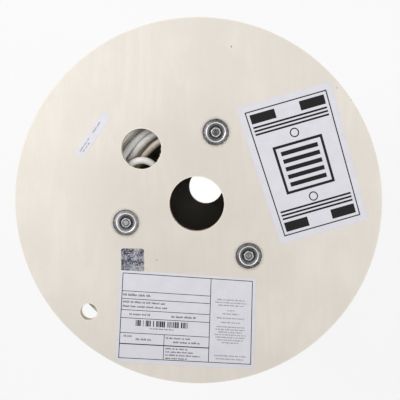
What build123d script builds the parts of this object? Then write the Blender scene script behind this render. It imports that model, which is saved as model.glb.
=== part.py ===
from build123d import *
from math import cos, pi, radians, sin, tan
import os

# Cable reel: two plywood flanges held on a thin barrel by three tie rods, wound with data cable.
# Millimetres. The axis is Z, the back flange lies on Z = 0 and the labelled front flange is on top.

# Flanges
flange_d = 400.0
flange_t = 9.0
traverse = 400.0
arbor_d = 60.0

# Start hole, over the barrel's wall for the cable's inner end, and end hole near the rim for its outer end
start_hole_d = 44.0
start_hole_angle = 135.0
end_hole_d = 19.0
end_hole_margin = 20.5
end_hole_angle = 225.0

# Barrel, a thin tube let into a groove in each flange
barrel_d = 172.0
barrel_wall = 2.0
groove_depth = 3.0
groove_gap = 0.3
notch_depth = 10.0
notch_from = 114.0
notch_to = 186.0

# Winding: how much of the flange stays bare above it, how far each layer sinks into the one below,
# and how deep its turns show on the ends and on the outside
cable_d = 8.0
bare_rim = 34.0
nesting = 0.95
turn_relief = 1.6
outer_relief = 3.2
turn_gap = 0.15
winding_gap = 0.2
tail_cover = 0.4

# Tie rods just inside the barrel, with a dished washer and a nut at each end
rods = 3
rod_to_barrel = 0.5
first_rod_angle = 75.0
rod_d = 6.0
rod_hole_gap = 0.25
rod_recess = 0.6
rod_chamfer = 0.5
nut_flats = 10.0
nut_t = 3.2
nut_face_inset = 0.25
nut_chamfer_angle = 30.0
thread_gap = 0.05
washer_d = 29.0
washer_t = 1.2
washer_crest_d = 20.6
washer_floor_d = 13.0
washer_rim_depth = 1.8
washer_crest_depth = 0.3
washer_floor_depth = 4.2
washer_gap = 0.15

# Heights and radii that follow from the sizes above
width = traverse + 2 * flange_t
front_inner = width - flange_t
barrel_r = barrel_d / 2
barrel_inner_r = barrel_r - barrel_wall
start_hole_r = barrel_r - barrel_wall / 2
end_hole_r = flange_d / 2 - end_hole_margin - end_hole_d / 2
winding_r = flange_d / 2 - bare_rim
layers = round((winding_r - barrel_r) / (cable_d * nesting))
layer_pitch = (winding_r - barrel_r - cable_d) / (layers - 1)
winding_width = traverse - 2 * winding_gap
turns = int(winding_width / (cable_d + turn_gap))
turn_pitch = (winding_width - cable_d) / (turns - 1)
tail_depth = cable_d / 2 + tail_cover
rod_circle_r = barrel_inner_r - rod_to_barrel - rod_d / 2
rod_angles = [first_rod_angle + 360 / rods * i for i in range(rods)]
washer_under_depth = washer_floor_depth + washer_t

# Route of the cable's inner end, as X, Y and depth below the front flange's inner face.
# It leaves the first layer, crosses the barrel wall, folds back and lies round the hollow.
tail_points = [
    (-89.6, -5.9, tail_depth),
    (-84.9, 18.2, tail_depth),
    (-76.4, 44.6, tail_depth),
    (-55.1, 49.2, tail_depth),
    (-40.3, 34.4, 9.0),
    (-43.8, 4.6, 18.0),
    (-42.4, -38.1, 30.0),
    (-9.2, -65.4, 40.0),
    (32.4, -60.9, 43.0),
    (62.9, -30.7, 41.0),
    (69.3, 9.7, 36.0),
    (52.0, 47.5, 27.0),
    (19.5, 69.0, 18.5),
    (-9.7, 78.6, 12.5),
    (-31.2, 73.5, 9.5),
    (-48.1, 63.9, 10.2),
    (-62.1, 50.3, 13.2),
    (-73.3, 31.1, 14.5),
]


def polar(radius, angle):
    """Point at a radius and an angle in degrees about the axis."""
    return (radius * cos(radians(angle)), radius * sin(radians(angle)))


def bend_radii(points):
    """Radius at each inner point, 0.45 of the shorter run over the tangent of half the turn."""
    radii = []
    for before, here, after in zip(points, points[1:], points[2:]):
        run_in = here - before
        run_out = after - here
        half_turn = radians(run_in.get_angle(run_out) / 2)
        radii.append(0.45 * min(run_in.length, run_out.length) * cos(half_turn) / sin(half_turn))
    return radii


def save(part, name):
    """Label one finished piece and write its file."""
    part.label = name
    export_step(part, f"parts/{name}.step")


os.makedirs("parts", exist_ok=True)


# Flange, drawn with its outer face at Z = 0 and its thickness downwards
with BuildPart() as flange_blank:
    with BuildSketch():
        Circle(flange_d / 2)
        Circle(arbor_d / 2, mode=Mode.SUBTRACT)
    extrude(amount=-flange_t)
    with BuildSketch(Plane.XY.offset(-flange_t)):
        Circle(barrel_r + groove_gap)
        Circle(barrel_inner_r - groove_gap, mode=Mode.SUBTRACT)
    extrude(amount=groove_depth, mode=Mode.SUBTRACT)
    with PolarLocations(rod_circle_r, rods, start_angle=first_rod_angle):
        Hole(rod_d / 2 + rod_hole_gap)

# Seat that a washer presses into the wood, as a turned plug to be cut away
with BuildPart() as washer_seat:
    with BuildSketch(Plane.XZ):
        with BuildLine():
            Polyline(
                (0, flange_t),
                (washer_d / 2 + washer_gap, flange_t),
                (washer_d / 2 + washer_gap, -washer_rim_depth - washer_t - washer_gap),
                (washer_crest_d / 2 + washer_gap, -washer_crest_depth - washer_t - washer_gap),
                (washer_floor_d / 2 + washer_gap, -washer_under_depth),
                (0, -washer_under_depth),
                close=True,
            )
        make_face()
    revolve(axis=Axis.Z)

with BuildPart() as plain_flange:
    add(flange_blank.part)
    with PolarLocations(rod_circle_r, rods, start_angle=first_rod_angle):
        add(washer_seat.part, mode=Mode.SUBTRACT)

with BuildPart() as drilled_flange:
    add(plain_flange.part)
    with Locations(polar(start_hole_r, start_hole_angle)):
        Hole(start_hole_d / 2)
    with Locations(polar(end_hole_r, end_hole_angle)):
        Hole(end_hole_d / 2)

front_flange = drilled_flange.part.moved(Location((0, 0, width)))
save(front_flange, "front_flange")
back_flange = mirror(plain_flange.part, about=Plane.XY)
save(back_flange, "back_flange")

# Barrel, with the notch that lets the inner end through at its front rim
with BuildPart() as barrel:
    with BuildSketch(Plane.XY.offset(flange_t - groove_depth)):
        Circle(barrel_r)
        Circle(barrel_inner_r, mode=Mode.SUBTRACT)
    extrude(amount=traverse + 2 * groove_depth)
    with BuildSketch(Plane.XY.offset(front_inner - notch_depth)):
        with BuildLine():
            notch_end = polar(2 * barrel_r, notch_to)
            Line((0, 0), polar(2 * barrel_r, notch_from))
            CenterArc((0, 0), 2 * barrel_r, notch_from, notch_to - notch_from)
            Line(notch_end, (0, 0))
        make_face()
    extrude(amount=notch_depth + groove_depth, mode=Mode.SUBTRACT)
save(barrel.part, "barrel")

# Inner end of the cable: a tube along straight runs joined by tangent arcs
route = [Vector(x, y, front_inner - depth) for x, y, depth in tail_points]
radii = bend_radii(route)
print("tail radii:", [round(radius, 1) for radius in radii])
with BuildPart() as cable_tail:
    with BuildLine() as tail_line:
        FilletPolyline(*route, radius=radii)
    with BuildSketch(Plane(origin=route[0], z_dir=route[1] - route[0])):
        Circle(cable_d / 2)
    sweep()
tail_length = tail_line.wire().length
print("tail length:", round(tail_length, 1), "volume over section:",
      round(cable_tail.part.volume / (pi * cable_d ** 2 / 4), 1))
save(cable_tail.part, "cable_tail")

# Winding, turned in one piece: each layer's last turn stands out as a ring on both ends, and each
# turn of the outer layer as a ring on the outside
with BuildPart() as winding:
    with BuildSketch(Plane.XZ):
        with BuildLine():
            low = flange_t + winding_gap
            high = front_inner - winding_gap
            inner = barrel_r + winding_gap
            crests = [barrel_r + cable_d / 2 + layer_pitch * i for i in range(layers)]
            low_edge = [(inner, low + turn_relief)]
            high_edge = [(inner, high - turn_relief)]
            for crest in crests[:-1]:
                low_edge += [(crest, low), (crest + layer_pitch / 2, low + turn_relief)]
                high_edge += [(crest, high), (crest + layer_pitch / 2, high - turn_relief)]
            low_edge.append((crests[-1], low))
            high_edge.append((crests[-1], high))
            outer_edge = [(winding_r - outer_relief, low)]
            for i in range(turns - 1):
                middle = low + cable_d / 2 + turn_pitch * i
                outer_edge += [(winding_r, middle), (winding_r - outer_relief, middle + turn_pitch / 2)]
            outer_edge += [(winding_r, high - cable_d / 2), (winding_r - outer_relief, high)]
            Polyline(*low_edge, *outer_edge, *reversed(high_edge), close=True)
        make_face()
    revolve(axis=Axis.Z)
    # Channel in which the inner end leaves the first layer
    channel_depth = tail_depth + cable_d / 2 + winding_gap
    with BuildSketch(Plane.XY.offset(front_inner - channel_depth)):
        with BuildLine():
            lead = FilletPolyline(*[(x, y) for x, y, depth in tail_points[:4]], radius=radii[:2])
        trace(lead, line_width=cable_d + 2 * winding_gap)
    extrude(amount=channel_depth, mode=Mode.SUBTRACT)
save(winding.part, "cable_winding")

# Tie rod, washer and nut, drawn at the front face of the flange
with BuildPart() as tie_rod:
    with BuildSketch(Plane.XY.offset(rod_recess)):
        Circle(rod_d / 2)
    extrude(amount=width - 2 * rod_recess)
    chamfer(tie_rod.edges().filter_by(GeomType.CIRCLE), rod_chamfer)

with BuildPart() as washer:
    with BuildSketch(Plane.XZ):
        with BuildLine():
            Polyline(
                (rod_d / 2 + rod_hole_gap, -washer_floor_depth),
                (washer_floor_d / 2, -washer_floor_depth),
                (washer_crest_d / 2, -washer_crest_depth),
                (washer_d / 2, -washer_rim_depth),
                (washer_d / 2, -washer_rim_depth - washer_t),
                (washer_crest_d / 2, -washer_crest_depth - washer_t),
                (washer_floor_d / 2, -washer_under_depth),
                (rod_d / 2 + rod_hole_gap, -washer_under_depth),
                close=True,
            )
        make_face()
    revolve(axis=Axis.Z)

with BuildPart() as nut:
    with BuildSketch(Plane.XY.offset(-washer_floor_depth)):
        RegularPolygon(nut_flats / 2, 6, major_radius=False)
    extrude(amount=nut_t)
    # Corners turned off to a cone that starts inside the flats of the outer face
    with BuildSketch(Plane.XZ):
        with BuildLine():
            nut_face = nut_t - washer_floor_depth
            cone_top_r = nut_flats / 2 - nut_face_inset
            cone_foot_r = nut_flats / 2 / cos(radians(30)) + nut_face_inset
            cone_drop = (cone_foot_r - cone_top_r) * tan(radians(nut_chamfer_angle))
            Polyline(
                (0, -washer_floor_depth),
                (cone_foot_r, -washer_floor_depth),
                (cone_foot_r, nut_face - cone_drop),
                (cone_top_r, nut_face),
                (0, nut_face),
                close=True,
            )
        make_face()
    revolve(axis=Axis.Z, mode=Mode.INTERSECT)
    with BuildSketch(Plane.XY.offset(-washer_floor_depth)):
        Circle(rod_d / 2 + thread_gap)
    extrude(amount=nut_t, mode=Mode.SUBTRACT)

back_washer = mirror(washer.part, about=Plane.XY)
back_nut = mirror(nut.part, about=Plane.XY)
for index, angle in enumerate(rod_angles, start=1):
    x, y = polar(rod_circle_r, angle)
    turned = Location((x, y, 0), (0, 0, angle))
    lifted = Location((x, y, width), (0, 0, angle))
    save(tie_rod.part.moved(turned), f"tie_rod_{index}")
    save(washer.part.moved(lifted), f"front_washer_{index}")
    save(nut.part.moved(lifted), f"front_nut_{index}")
    save(back_washer.moved(turned), f"back_washer_{index}")
    save(back_nut.moved(turned), f"back_nut_{index}")
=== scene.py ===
"""Cable reel: two plywood flanges on a fibreboard barrel, held by tie rods and wound with data cable.

Everything is in metres in the frame of the CAD model. The axis is Z, the back flange lies on the
floor at Z = 0, and the labelled front flange looks up at the camera.
"""

import logging
import math
import random
from dataclasses import dataclass, field
from enum import Enum

import bpy
from mathutils import Matrix, Vector, noise


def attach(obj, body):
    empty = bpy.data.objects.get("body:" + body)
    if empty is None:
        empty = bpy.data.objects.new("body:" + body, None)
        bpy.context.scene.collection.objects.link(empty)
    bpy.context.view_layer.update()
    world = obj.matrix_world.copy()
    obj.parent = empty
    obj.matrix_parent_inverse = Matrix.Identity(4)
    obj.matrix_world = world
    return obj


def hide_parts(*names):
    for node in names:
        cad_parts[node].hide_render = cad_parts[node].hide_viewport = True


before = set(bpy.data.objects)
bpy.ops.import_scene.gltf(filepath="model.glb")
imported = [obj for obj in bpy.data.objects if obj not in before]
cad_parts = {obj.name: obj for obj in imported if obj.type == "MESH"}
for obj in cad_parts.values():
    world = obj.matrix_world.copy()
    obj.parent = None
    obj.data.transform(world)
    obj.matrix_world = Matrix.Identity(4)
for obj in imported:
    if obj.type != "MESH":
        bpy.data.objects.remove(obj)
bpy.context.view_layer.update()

log = logging.getLogger("cable_reel")

Material = bpy.types.Material
Node = bpy.types.Node
Piece = bpy.types.Object
Socket = bpy.types.NodeSocket
# Points and faces of a mesh
Part = tuple[list, list]
Triple = tuple[float, float, float]


def mm(value: float) -> float:
    """Millimetres as metres."""
    return value / 1000.0


def polar(radius: float, degrees: float, height: float = 0.0) -> Vector:
    """Point at a radius and an angle about the reel's axis."""
    angle = math.radians(degrees)
    return Vector((radius * math.cos(angle), radius * math.sin(angle), height))


def eased(value: float) -> float:
    """A value held between 0 and 1, with a soft start and end."""
    share = min(max(value, 0.0), 1.0)
    return share * share * (3 - 2 * share)


def linear(hex_colour: str) -> tuple[float, float, float, float]:
    """sRGB hex value as linear red, green, blue and alpha."""
    channels = []
    for start in (1, 3, 5):
        value = int(hex_colour[start:start + 2], 16) / 255
        channels.append(value / 12.92 if value <= 0.04045 else ((value + 0.055) / 1.055) ** 2.4)
    return (channels[0], channels[1], channels[2], 1.0)


def per_mm(size: Triple) -> Triple:
    """Scale that makes one unit of a pattern this many millimetres long on each axis."""
    return (1000.0 / size[0], 1000.0 / size[1], 1000.0 / size[2])


def first_output(node: Node) -> Socket:
    """The first output that a node's settings leave switched on."""
    return next(output for output in node.outputs if output.enabled)


@dataclass
class NodeSheet:
    """A node tree in the making, with the shader that it feeds and the place on the piece, in metres."""

    tree: bpy.types.NodeTree
    shader: Node | None = None
    place: Socket | None = None

    def __post_init__(self) -> None:
        """Start from an empty sheet."""
        self.tree.nodes.clear()

    def add(self, kind: str, inputs: dict | list | None = None, target: str | None = None,
            **settings) -> Node:
        """Add one shader node with its settings and links.

        Args:
            kind: Blender's name of the node type.
            inputs: Value, hex colour, socket or node for each input, by its name or number, or a
                list that fills the first inputs in their order, which in a Map Range are the
                value, the two levels and what they become. A node stands for its first output,
                and the colours of a Mix are its inputs 6 and 7.
            target: Input of the shader that the first output goes to.
            settings: Properties of the node itself.

        Returns:
            The new node.
        """
        node = self.tree.nodes.new(kind)
        for name, value in settings.items():
            setattr(node, name, value)
        filled = dict(enumerate(inputs)) if isinstance(inputs, list) else inputs or {}
        for name, value in filled.items():
            if isinstance(value, Node):
                value = first_output(value)
            if isinstance(value, Socket):
                self.tree.links.new(value, node.inputs[name])
            else:
                node.inputs[name].default_value = linear(value) if isinstance(value, str) else value
        if target is not None:
            self.tree.links.new(first_output(node), self.shader.inputs[target])
        return node

    def grain(self, size: Triple, detail: float, roughness: float = 0.5) -> Node:
        """Noise with a real size.

        Args:
            size: Millimetres that one unit of it is long on each axis.
            detail: How many finer steps it has.
            roughness: How much each finer step weighs.

        Returns:
            The node that gives it.
        """
        place = self.add("ShaderNodeMapping", {"Vector": self.place, "Scale": per_mm(size)})
        return self.add("ShaderNodeTexNoise", {"Vector": place, "Scale": 1.0, "Detail": detail,
                                                "Roughness": roughness})

    def patches(self, size: Triple, detail: float, levels: tuple[float, float],
                shares: tuple[float, float] = (0.0, 1.0)) -> Node:
        """Patches where a noise with a real size is high.

        Args:
            size: Millimetres that one unit of it is long on each axis.
            detail: How many finer steps it has.
            levels: Noise outside the patches and inside them.
            shares: What the node gives outside and inside.

        Returns:
            The node that gives the share.
        """
        return self.add("ShaderNodeMapRange", [self.grain(size, detail), *levels, *shares])

    def level_face(self, low: float, high: float) -> Node:
        """1 where the surface looks along the axis, and 0 where it looks sideways.

        Args:
            low: How far the surface leans along the axis where the share begins.
            high: Where it is full.

        Returns:
            The node that gives the share.
        """
        normal = self.add("ShaderNodeNewGeometry").outputs["Normal"]
        lean = self.add("ShaderNodeSeparateXYZ", [normal]).outputs["Z"]
        level = self.add("ShaderNodeMath", [lean], operation="ABSOLUTE")
        return self.add("ShaderNodeMapRange", [level, low, high])

    def layered(self, base: Node | str, *layers: tuple[Node, Node | str]) -> Node:
        """Colours laid over each other.

        Args:
            base: Lowest colour.
            layers: Share and colour of each layer above it.

        Returns:
            The node that gives the colour.
        """
        for share, colour in layers:
            base = self.add("ShaderNodeMix", {0: share, 6: base, 7: colour}, data_type="RGBA")
        return base

    def paint(self, base: Node | str, *layers: tuple[Node, Node | str]) -> None:
        """Give the shader colours laid over each other."""
        self.tree.links.new(first_output(self.layered(base, *layers)), self.shader.inputs["Base Color"])


def new_object(name: str, data: bpy.types.ID) -> Piece:
    """Add an object to the scene."""
    thing = bpy.data.objects.new(name, data)
    bpy.context.collection.objects.link(thing)
    return thing


def new_material(name: str) -> tuple[Material, NodeSheet]:
    """A material without nodes, and the sheet for them."""
    material = bpy.data.materials.new(name)
    material.use_nodes = True
    return material, NodeSheet(material.node_tree)


def add_piece(name: str, part: Part, material: Material, smooth: bool = True) -> Piece:
    """Make one piece of the reel from its points and faces.

    Args:
        name: The piece's name.
        part: Points in the frame of the reel, in metres, and faces as tuples of point numbers.
        material: Its finish.
        smooth: Whether its faces are shaded smooth.

    Returns:
        The new object, riding on the reel.
    """
    mesh = bpy.data.meshes.new(name)
    verts, faces = part
    mesh.from_pydata([tuple(vert) for vert in verts], [], faces)
    mesh.validate()
    if smooth:
        mesh.shade_smooth()
    mesh.materials.append(material)
    piece = new_object(name, mesh)
    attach(piece, "root")
    return piece


def dress(node: str, material: Material) -> Piece:
    """Give a CAD solid that stays its finish.

    Args:
        node: Name of the solid.
        material: Its finish.

    Returns:
        The solid's object.
    """
    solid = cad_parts[node]
    for slot in solid.material_slots:
        slot.material = material
    return solid


def band_faces(steps: int, rows: int, inside_out: bool = False, mirrored: bool = False) -> list:
    """Faces of a closed section that goes round a full turn.

    Args:
        steps: Number of sections round the turn.
        rows: Number of points of a section.
        inside_out: Whether the section's points go round the other way.
        mirrored: Whether the shape is the mirror image, as at the back flange.

    Returns:
        The faces.
    """
    faces = []
    for step in range(steps):
        here = step * rows
        there = (step + 1) % steps * rows
        for row in range(rows):
            after = (row + 1) % rows
            face = [here + row, there + row, there + after, here + after]
            if inside_out:
                face = [face[0], *face[:0:-1]]
            if mirrored:
                face.reverse()
            faces.append(tuple(face))
    return faces


def swept(path: list[Vector], radius: float, sides: int) -> Part:
    """Sweep a round section along a path of points, with a flat cap on each end.

    Args:
        path: Points of the centre line, in metres.
        radius: Radius of the section.
        sides: Number of points round it.

    Returns:
        Points and faces.
    """
    verts = []
    across = None
    for index, point in enumerate(path):
        ahead = path[min(index + 1, len(path) - 1)]
        behind = path[max(index - 1, 0)]
        along = (ahead - behind).normalized()
        if across is None:
            across = along.orthogonal().normalized()
        across = (across - along * across.dot(along)).normalized()
        over = along.cross(across)
        for side in range(sides):
            angle = 2 * math.pi * side / sides
            verts.append(point + radius * (math.cos(angle) * across + math.sin(angle) * over))
    faces = []
    for here in range(0, (len(path) - 1) * sides, sides):
        for side in range(sides):
            after = (side + 1) % sides
            faces.append((here + side, here + after, here + sides + after, here + sides + side))
    last = (len(path) - 1) * sides
    faces.append(tuple(reversed(range(sides))))
    faces.append(tuple(range(last, last + sides)))
    return verts, faces


def joined(parts: list[Part]) -> Part:
    """Points and faces of several parts as one."""
    verts: list = []
    faces: list = []
    for part_verts, part_faces in parts:
        base = len(verts)
        verts.extend(part_verts)
        faces.extend(tuple(base + index for index in face) for face in part_faces)
    return verts, faces


@dataclass(frozen=True)
class Reel:
    """Sizes of the reel that several pieces share, in millimetres and degrees."""

    flange_d: float = 400.0
    flange_t: float = 9.0
    width: float = 418.0
    arbor_d: float = 60.0
    start_hole_d: float = 44.0
    start_hole_r: float = 85.0
    start_hole_angle: float = 135.0
    end_hole_d: float = 19.0
    end_hole_r: float = 170.0
    end_hole_angle: float = 225.0
    barrel_r: float = 86.0
    cable_d: float = 8.0
    rod_circle_r: float = 80.5
    rod_angles: tuple[float, ...] = (75.0, 195.0, 315.0)

    @property
    def front_inner(self) -> float:
        """Height of the front flange's inner face."""
        return self.width - self.flange_t

    @property
    def holes(self) -> tuple[Triple, ...]:
        """Middle and radius of the arbor hole, the start hole and the end hole."""
        start = polar(self.start_hole_r, self.start_hole_angle)
        end = polar(self.end_hole_r, self.end_hole_angle)
        return ((0.0, 0.0, self.arbor_d / 2), (start.x, start.y, self.start_hole_d / 2),
                (end.x, end.y, self.end_hole_d / 2))


REEL = Reel()


@dataclass(frozen=True)
class FaceSpot:
    """A place on a flange's outer face, in metres."""

    x: float
    y: float
    front: bool

    def at(self, radius: float, angle: float, rise: float) -> Vector:
        """Point about the place.

        Args:
            radius: Millimetres from it.
            angle: Direction from it, in radians.
            rise: Millimetres out of the wood.

        Returns:
            The point in the frame of the reel, in metres.
        """
        middle = Vector((self.x, self.y, mm(REEL.width) if self.front else 0.0))
        outward = 1.0 if self.front else -1.0
        return middle + Vector((mm(radius * math.cos(angle)), mm(radius * math.sin(angle)),
                                outward * mm(rise)))


def rod_spot(angle: float, front: bool) -> FaceSpot:
    """Middle of the rod at an angle, in degrees, on a flange's outer face."""
    rod = polar(mm(REEL.rod_circle_r), angle)
    return FaceSpot(rod.x, rod.y, front)


@dataclass(frozen=True)
class Finish:
    """Even values of a finish, with an IOR of None for the shader's own."""

    name: str
    colour: str
    roughness: float
    metallic: float = 0.0
    ior: float | None = None

    def draw(self, sheet: NodeSheet) -> None:
        """Add the nodes of the pattern, which an even finish hasn't got."""

    def build(self) -> Material:
        """The finished material."""
        material, sheet = new_material(self.name)
        inputs = {"Base Color": self.colour, "Roughness": self.roughness, "Metallic": self.metallic}
        if self.ior is not None:
            inputs["IOR"] = self.ior
        sheet.shader = sheet.add("ShaderNodeBsdfPrincipled", inputs)
        sheet.add("ShaderNodeOutputMaterial", {"Surface": sheet.shader})
        sheet.place = sheet.add("ShaderNodeTexCoord").outputs["Object"]
        self.draw(sheet)
        return material


@dataclass(frozen=True)
class BirchPlywood(Finish):
    """Rotary-cut birch plywood, sanded and left bare.

    The knife peels the log, so the face shows wide faint contours and short fine pores along the
    grain. The cut edges show the crossed plies, pale where the fibres lie along the edge and
    darker where they end in it.
    """

    ior: float | None = 1.5
    floor_z: float = 0.0
    plies: int = 7
    holes: tuple[Triple, ...] = ()
    shift: float = 0.0

    def draw(self, sheet: NodeSheet) -> None:
        """Faces with figure, fibre and pores, edges with plies and glue lines."""
        # Fibre bundles about 1.3 mm wide and 40 mm long, pores about 0.35 mm wide and 4 mm long
        fibre = sheet.grain((1.3, 40.0, 1.3), 4.0, 0.6)
        pores = sheet.patches((0.35, 4.0, 0.35), 1.0, (0.64, 0.74))
        face = self.rim_lips_grime_and_painted_light(sheet, self.figured_face(sheet, fibre, pores))
        sheet.paint(self.edge_plies(sheet, fibre), (sheet.level_face(0.3, 0.6), face))
        sheet.add("ShaderNodeMapRange", [fibre, 0.2, 0.8, 0.52, 0.68], "Roughness")
        relief = sheet.add("ShaderNodeMath", [pores, -0.6, fibre], operation="MULTIPLY_ADD")
        sheet.add("ShaderNodeBump", {"Height": relief, "Strength": 0.22, "Distance": 0.0001}, "Normal")

    def figured_face(self, sheet: NodeSheet, fibre: Node, pores: Node) -> Node:
        """Face colour: contour lines of the peeled log, faint streaks, pores and damp clouds.

        Args:
            sheet: The material's nodes.
            fibre: Fibre bundles, from 0 to 1.
            pores: Pores, 1 where one opens.

        Returns:
            The node that gives the colour.
        """
        # Figure about 34 mm wide and 190 mm long, drawn as contour lines of a slow noise
        slow = sheet.grain((34.0, 190.0, 60.0), 1.5, 0.45)
        slow.noise_dimensions = "4D"
        slow.inputs["W"].default_value = self.shift
        wave = sheet.add("ShaderNodeMath", [slow, 40.0], operation="MULTIPLY")
        contour = sheet.add("ShaderNodeMath", [wave], operation="SINE")
        figure = sheet.add("ShaderNodeMapRange", [contour, -1.0, 1.0], interpolation_type="SMOOTHSTEP")
        # Slow clouds about 45 mm across, where the veneer took up more or less damp
        clouds = sheet.patches((45.0, 60.0, 45.0), 3.0, (0.38, 0.62))
        clouds.interpolation_type = "SMOOTHSTEP"
        streaks = sheet.add("ShaderNodeMapRange", [fibre, 0.3, 0.7, 0.0, 0.2])
        thin = sheet.add("ShaderNodeMath", [pores, 0.2], operation="MULTIPLY")
        return sheet.layered("#E6DFD6", (figure, "#E3DCD2"), (clouds, "#E0D9CF"), (streaks, "#D9CFC3"),
                             (thin, "#B9A68E"))

    def rim_lips_grime_and_painted_light(self, sheet: NodeSheet, face: Node) -> Node:
        """Face colour darker round the bore, with grime and painted shade round each washer, and the raw
        lip that sawing left on rim and holes, lightened also as a painted highlight.

        Args:
            sheet: The material's nodes.
            face: The face's colour away from the lips.

        Returns:
            The node that gives the colour.
        """
        uneven = sheet.patches((1.6, 1.6, 1.6), 3.0, (0.3, 0.75), (-0.5, 1.1))
        flat = sheet.add("ShaderNodeVectorMath", [sheet.place, (1000.0, 1000.0, 0.0)],
                         operation="MULTIPLY")
        # Wood a little darker round the bore
        reach = sheet.add("ShaderNodeVectorMath", [flat], operation="LENGTH")
        darker_near_bore = sheet.add("ShaderNodeMapRange", [reach, 60.0, 150.0, 0.19, 0.0],
                            interpolation_type="SMOOTHSTEP")
        layers = [(darker_near_bore, "#B5ADA3")]
        # Wood pressed down and grimed round each washer, darkened also as painted shade where the face dips
        # into the washer's seat
        for angle in REEL.rod_angles:
            rod = polar(REEL.rod_circle_r, angle)
            reach = sheet.add("ShaderNodeVectorMath", [flat, rod], operation="DISTANCE")
            past = sheet.add("ShaderNodeMath", [uneven, 1.7, reach], operation="MULTIPLY_ADD")
            seat_shade_and_grime = sheet.add("ShaderNodeMapRange", [past, 14.6, 18.0, 0.6, 0.0],
                              interpolation_type="SMOOTHSTEP")
            layers.append((seat_shade_and_grime, "#A9A29A"))
        # The outer rim's lip lies inwards of it, and a hole's lip outwards. The lip is raw sawn fibre,
        # lightened also as a painted highlight of the lit edge
        edges = [(0.0, 0.0, REEL.flange_d / 2, -1.0)] + [(*hole, 1.0) for hole in self.holes]
        for x, y, radius, sign in edges:
            reach = sheet.add("ShaderNodeVectorMath", [flat, (x, y, 0.0)], operation="DISTANCE")
            inward = sheet.add("ShaderNodeMath", [reach, sign, -radius * sign], operation="MULTIPLY_ADD")
            depth = sheet.add("ShaderNodeMath", [inward, uneven], operation="SUBTRACT")
            lip_and_highlight = sheet.add("ShaderNodeMapRange", [depth, 0.2, 0.9, 0.75, 0.0])
            layers.append((lip_and_highlight, "#EFE7D6"))
        return sheet.layered(face, *layers)

    def edge_plies(self, sheet: NodeSheet, fibre: Node) -> Node:
        """Colour of the cut edge: crossed plies with a dark glue line between them.

        Args:
            sheet: The material's nodes.
            fibre: Fibre bundles, from 0 to 1.

        Returns:
            The node that gives the colour.
        """
        ply = REEL.flange_t / self.plies
        up = sheet.add("ShaderNodeSeparateXYZ", [sheet.place]).outputs["Z"]
        level = sheet.add("ShaderNodeMath", [up, 1000.0 / ply, -self.floor_z / ply - 0.12],
                          operation="MULTIPLY_ADD")
        wander = sheet.grain((14.0, 14.0, 3.0), 1.0)
        height = sheet.add("ShaderNodeMath", [wander, 0.24, level], operation="MULTIPLY_ADD")
        half = sheet.add("ShaderNodeMath", [height, 0.5], operation="MULTIPLY")
        parity = sheet.add("ShaderNodeMath", [half], operation="FRACT")
        crossed = sheet.add("ShaderNodeMath", [parity, 0.5], operation="GREATER_THAN")
        part = sheet.add("ShaderNodeMath", [height], operation="FRACT")
        centred = sheet.add("ShaderNodeMath", [part, 0.5], operation="SUBTRACT")
        away = sheet.add("ShaderNodeMath", [centred], operation="ABSOLUTE")
        glue = sheet.add("ShaderNodeMapRange", [away, 0.42, 0.49])
        # Fibre ends about 0.45 mm across, torn a little by the saw
        torn = sheet.patches((0.45, 0.45, 0.8), 3.0, (0.35, 0.7))
        along = sheet.layered("#EFE8DC", (fibre, "#E4DBCB"))
        across = sheet.layered("#DDD0B9", (torn, "#C2B194"))
        return sheet.layered(along, (crossed, across), (glue, "#A3917A"))


@dataclass(frozen=True)
class Fibreboard(Finish):
    """Thin pressed wood fibre, bent to a tube: grey brown and dull, with loose fibres on its rims."""

    ior: float | None = 1.45

    def draw(self, sheet: NodeSheet) -> None:
        """Matted fibres about 0.7 mm across over slow darker patches."""
        mat = sheet.grain((0.7, 0.7, 1.8), 5.0, 0.7)
        blend = sheet.add("ShaderNodeMapRange", [mat, 0.35, 0.65])
        damp = sheet.patches((30.0, 30.0, 18.0), 2.0, (0.4, 0.7), (0.0, 0.5))
        sheet.paint("#968A7D", (blend, "#CBBEAC"), (damp, "#7B7165"))
        sheet.add("ShaderNodeBump", {"Height": mat, "Strength": 0.5, "Distance": 0.0002}, "Normal")


@dataclass(frozen=True)
class ZincPlatedSteel(Finish):
    """Pressed steel with electroplated zinc.

    Where the press and handling polished it, it is bright, and the same brightness paints the highlight
    of a washer's rolled crest and a nut's chamfer. The hollows keep a dull blue-grey bloom with wood
    dust in it, which hides most of the shine, and are darkened further as painted shade.
    """

    metallic: float = 0.85

    def draw(self, sheet: NodeSheet) -> None:
        """Dull to bright by how worn the piece is and by painted light on it, with bloom spots about 1.2 mm
        across.
        """
        # The piece's brightness: worn polish, with painted highlights on crests and painted shade in
        # hollows
        wear_and_sheen = sheet.add("ShaderNodeAttribute", attribute_name="wear_and_sheen").outputs["Fac"]
        spots = sheet.grain((1.2, 1.2, 1.2), 4.0, 0.65)
        mottle = sheet.add("ShaderNodeMapRange", [spots, 0.3, 0.72, -0.16, 0.16])
        bright = sheet.add("ShaderNodeMath", [wear_and_sheen, mottle], operation="ADD", use_clamp=True)
        # Wood dust caught in the dull parts, in spots about 2 mm across
        caught = sheet.patches((2.0, 2.0, 2.0), 3.0, (0.48, 0.66))
        dull = sheet.add("ShaderNodeMapRange", [bright, 0.1, 0.5, 0.5, 0.0])
        dusty = sheet.add("ShaderNodeMath", [caught, dull], operation="MULTIPLY")
        sheet.paint("#47484B", (bright, "#E6E6E8"), (dusty, "#857B69"))
        sheet.add("ShaderNodeMapRange", [bright, 0.0, 1.0, 0.62, 0.3], "Roughness")
        sheet.add("ShaderNodeBump", {"Height": spots, "Strength": 0.3, "Distance": 0.00015}, "Normal")


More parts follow.
